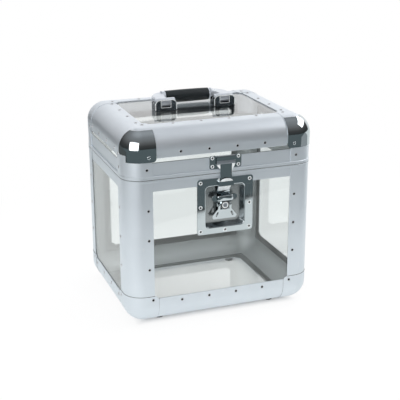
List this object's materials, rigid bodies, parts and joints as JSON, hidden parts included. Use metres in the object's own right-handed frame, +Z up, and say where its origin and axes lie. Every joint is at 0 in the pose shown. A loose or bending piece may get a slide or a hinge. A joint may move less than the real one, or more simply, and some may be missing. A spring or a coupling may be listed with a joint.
{
  "type": "record carrying case",
  "caption": "Clear-panelled carrying case for 12-inch records, with rounded aluminium edges, hinged lid, recessed butterfly latch and folding top handle.",
  "frame": {"origin": "on the ground plane under the feet, at the middle of the case's width and depth", "axes": "+Z up; +Y from the latch side to the hinge side; +X to the right when looking at the latch side"},
  "size_m": [0.3676, 0.3042, 0.3957],
  "materials": {
    "frame_aluminium": "satin anodised",
    "clear_acrylic": "clear and polished",
    "latch_chrome": "polished plating",
    "pin_steel": "plain",
    "foot_rubber": "matte",
    "grip_black": "grained"
  },
  "bodies": {
    "case_body": {"body_panel_front": "clear_acrylic", "bottom_edge_front": "frame_aluminium", "body_panel_back": "clear_acrylic", "bottom_edge_back": "frame_aluminium", "body_panel_left": "clear_acrylic", "bottom_edge_left": "frame_aluminium", "body_panel_right": "clear_acrylic", "bottom_edge_right": "frame_aluminium", "corner_post_front_left": "frame_aluminium", "bottom_corner_front_left": "frame_aluminium", "corner_post_back_left": "frame_aluminium", "bottom_corner_back_left": "frame_aluminium", "corner_post_front_right": "frame_aluminium", "bottom_corner_front_right": "frame_aluminium", "corner_post_back_right": "frame_aluminium", "bottom_corner_back_right": "frame_aluminium", "floor_panel": "clear_acrylic", "body_closure_frame": "frame_aluminium", "feet": "foot_rubber", "latch_dish": "latch_chrome", "hinge_body_leaf_left": "frame_aluminium", "hinge_pin_left": "pin_steel", "hinge_body_leaf_right": "frame_aluminium", "hinge_pin_right": "pin_steel"},
    "lid": {"lid_panel_front": "clear_acrylic", "lid_edge_front": "frame_aluminium", "lid_panel_back": "clear_acrylic", "lid_edge_back": "frame_aluminium", "lid_panel_left": "clear_acrylic", "lid_edge_left": "frame_aluminium", "lid_panel_right": "clear_acrylic", "lid_edge_right": "frame_aluminium", "lid_post_front_left": "frame_aluminium", "lid_corner_front_left": "frame_aluminium", "lid_post_back_left": "frame_aluminium", "lid_corner_back_left": "frame_aluminium", "lid_post_front_right": "frame_aluminium", "lid_corner_front_right": "frame_aluminium", "lid_post_back_right": "frame_aluminium", "lid_corner_back_right": "frame_aluminium", "lid_panel_top": "clear_acrylic", "lid_closure_frame": "frame_aluminium", "latch_keeper": "latch_chrome", "hinge_lid_leaf_left": "frame_aluminium", "ball_corner_left": "latch_chrome", "handle_bracket_left": "latch_chrome", "hinge_lid_leaf_right": "frame_aluminium", "ball_corner_right": "latch_chrome", "handle_bracket_right": "latch_chrome", "handle_pins": "pin_steel"},
    "latch_turn": {"latch_crank": "latch_chrome", "latch_retainer": "pin_steel", "latch_hub": "latch_chrome", "latch_hub_screw": "pin_steel"},
    "latch_wing": {"latch_wing": "latch_chrome", "latch_wing_pin": "pin_steel"},
    "latch_hook": {"latch_hook": "latch_chrome"},
    "handle": {"handle_bail": "latch_chrome", "handle_grip": "grip_black"}
  },
  "joints": [
    {"name": "lid_hinge", "type": "hinge", "parent": "case_body", "child": "lid", "pos_m": [0, 0.1495, 0.2827], "axis": [-1, 0, 0], "range_deg": [0, 110]},
    {"name": "handle_fold", "type": "hinge", "parent": "lid", "child": "handle", "pos_m": [0, 0.008, 0.3835], "axis": [1, 0, 0], "range_deg": [0, 90]},
    {"name": "latch_turn", "type": "hinge", "parent": "case_body", "child": "latch_turn", "pos_m": [0.004, -0.14, 0.2205], "axis": [0, 1, 0], "range_deg": [0, 180]},
    {"name": "wing_flip", "type": "hinge", "parent": "latch_turn", "child": "latch_wing", "pos_m": [0.004, -0.144, 0.2205], "axis": [-1, 0, 0], "range_deg": [0, 90]},
    {"name": "hook_slide", "type": "slide", "parent": "case_body", "child": "latch_hook", "axis": [0, -0.335, 0.9422], "range_m": [0, 0.0096]}
  ],
  "couplings": [
    {"joint": "hook_slide", "follows": "latch_turn", "m_per_rad": 0.0030405}
  ]
}
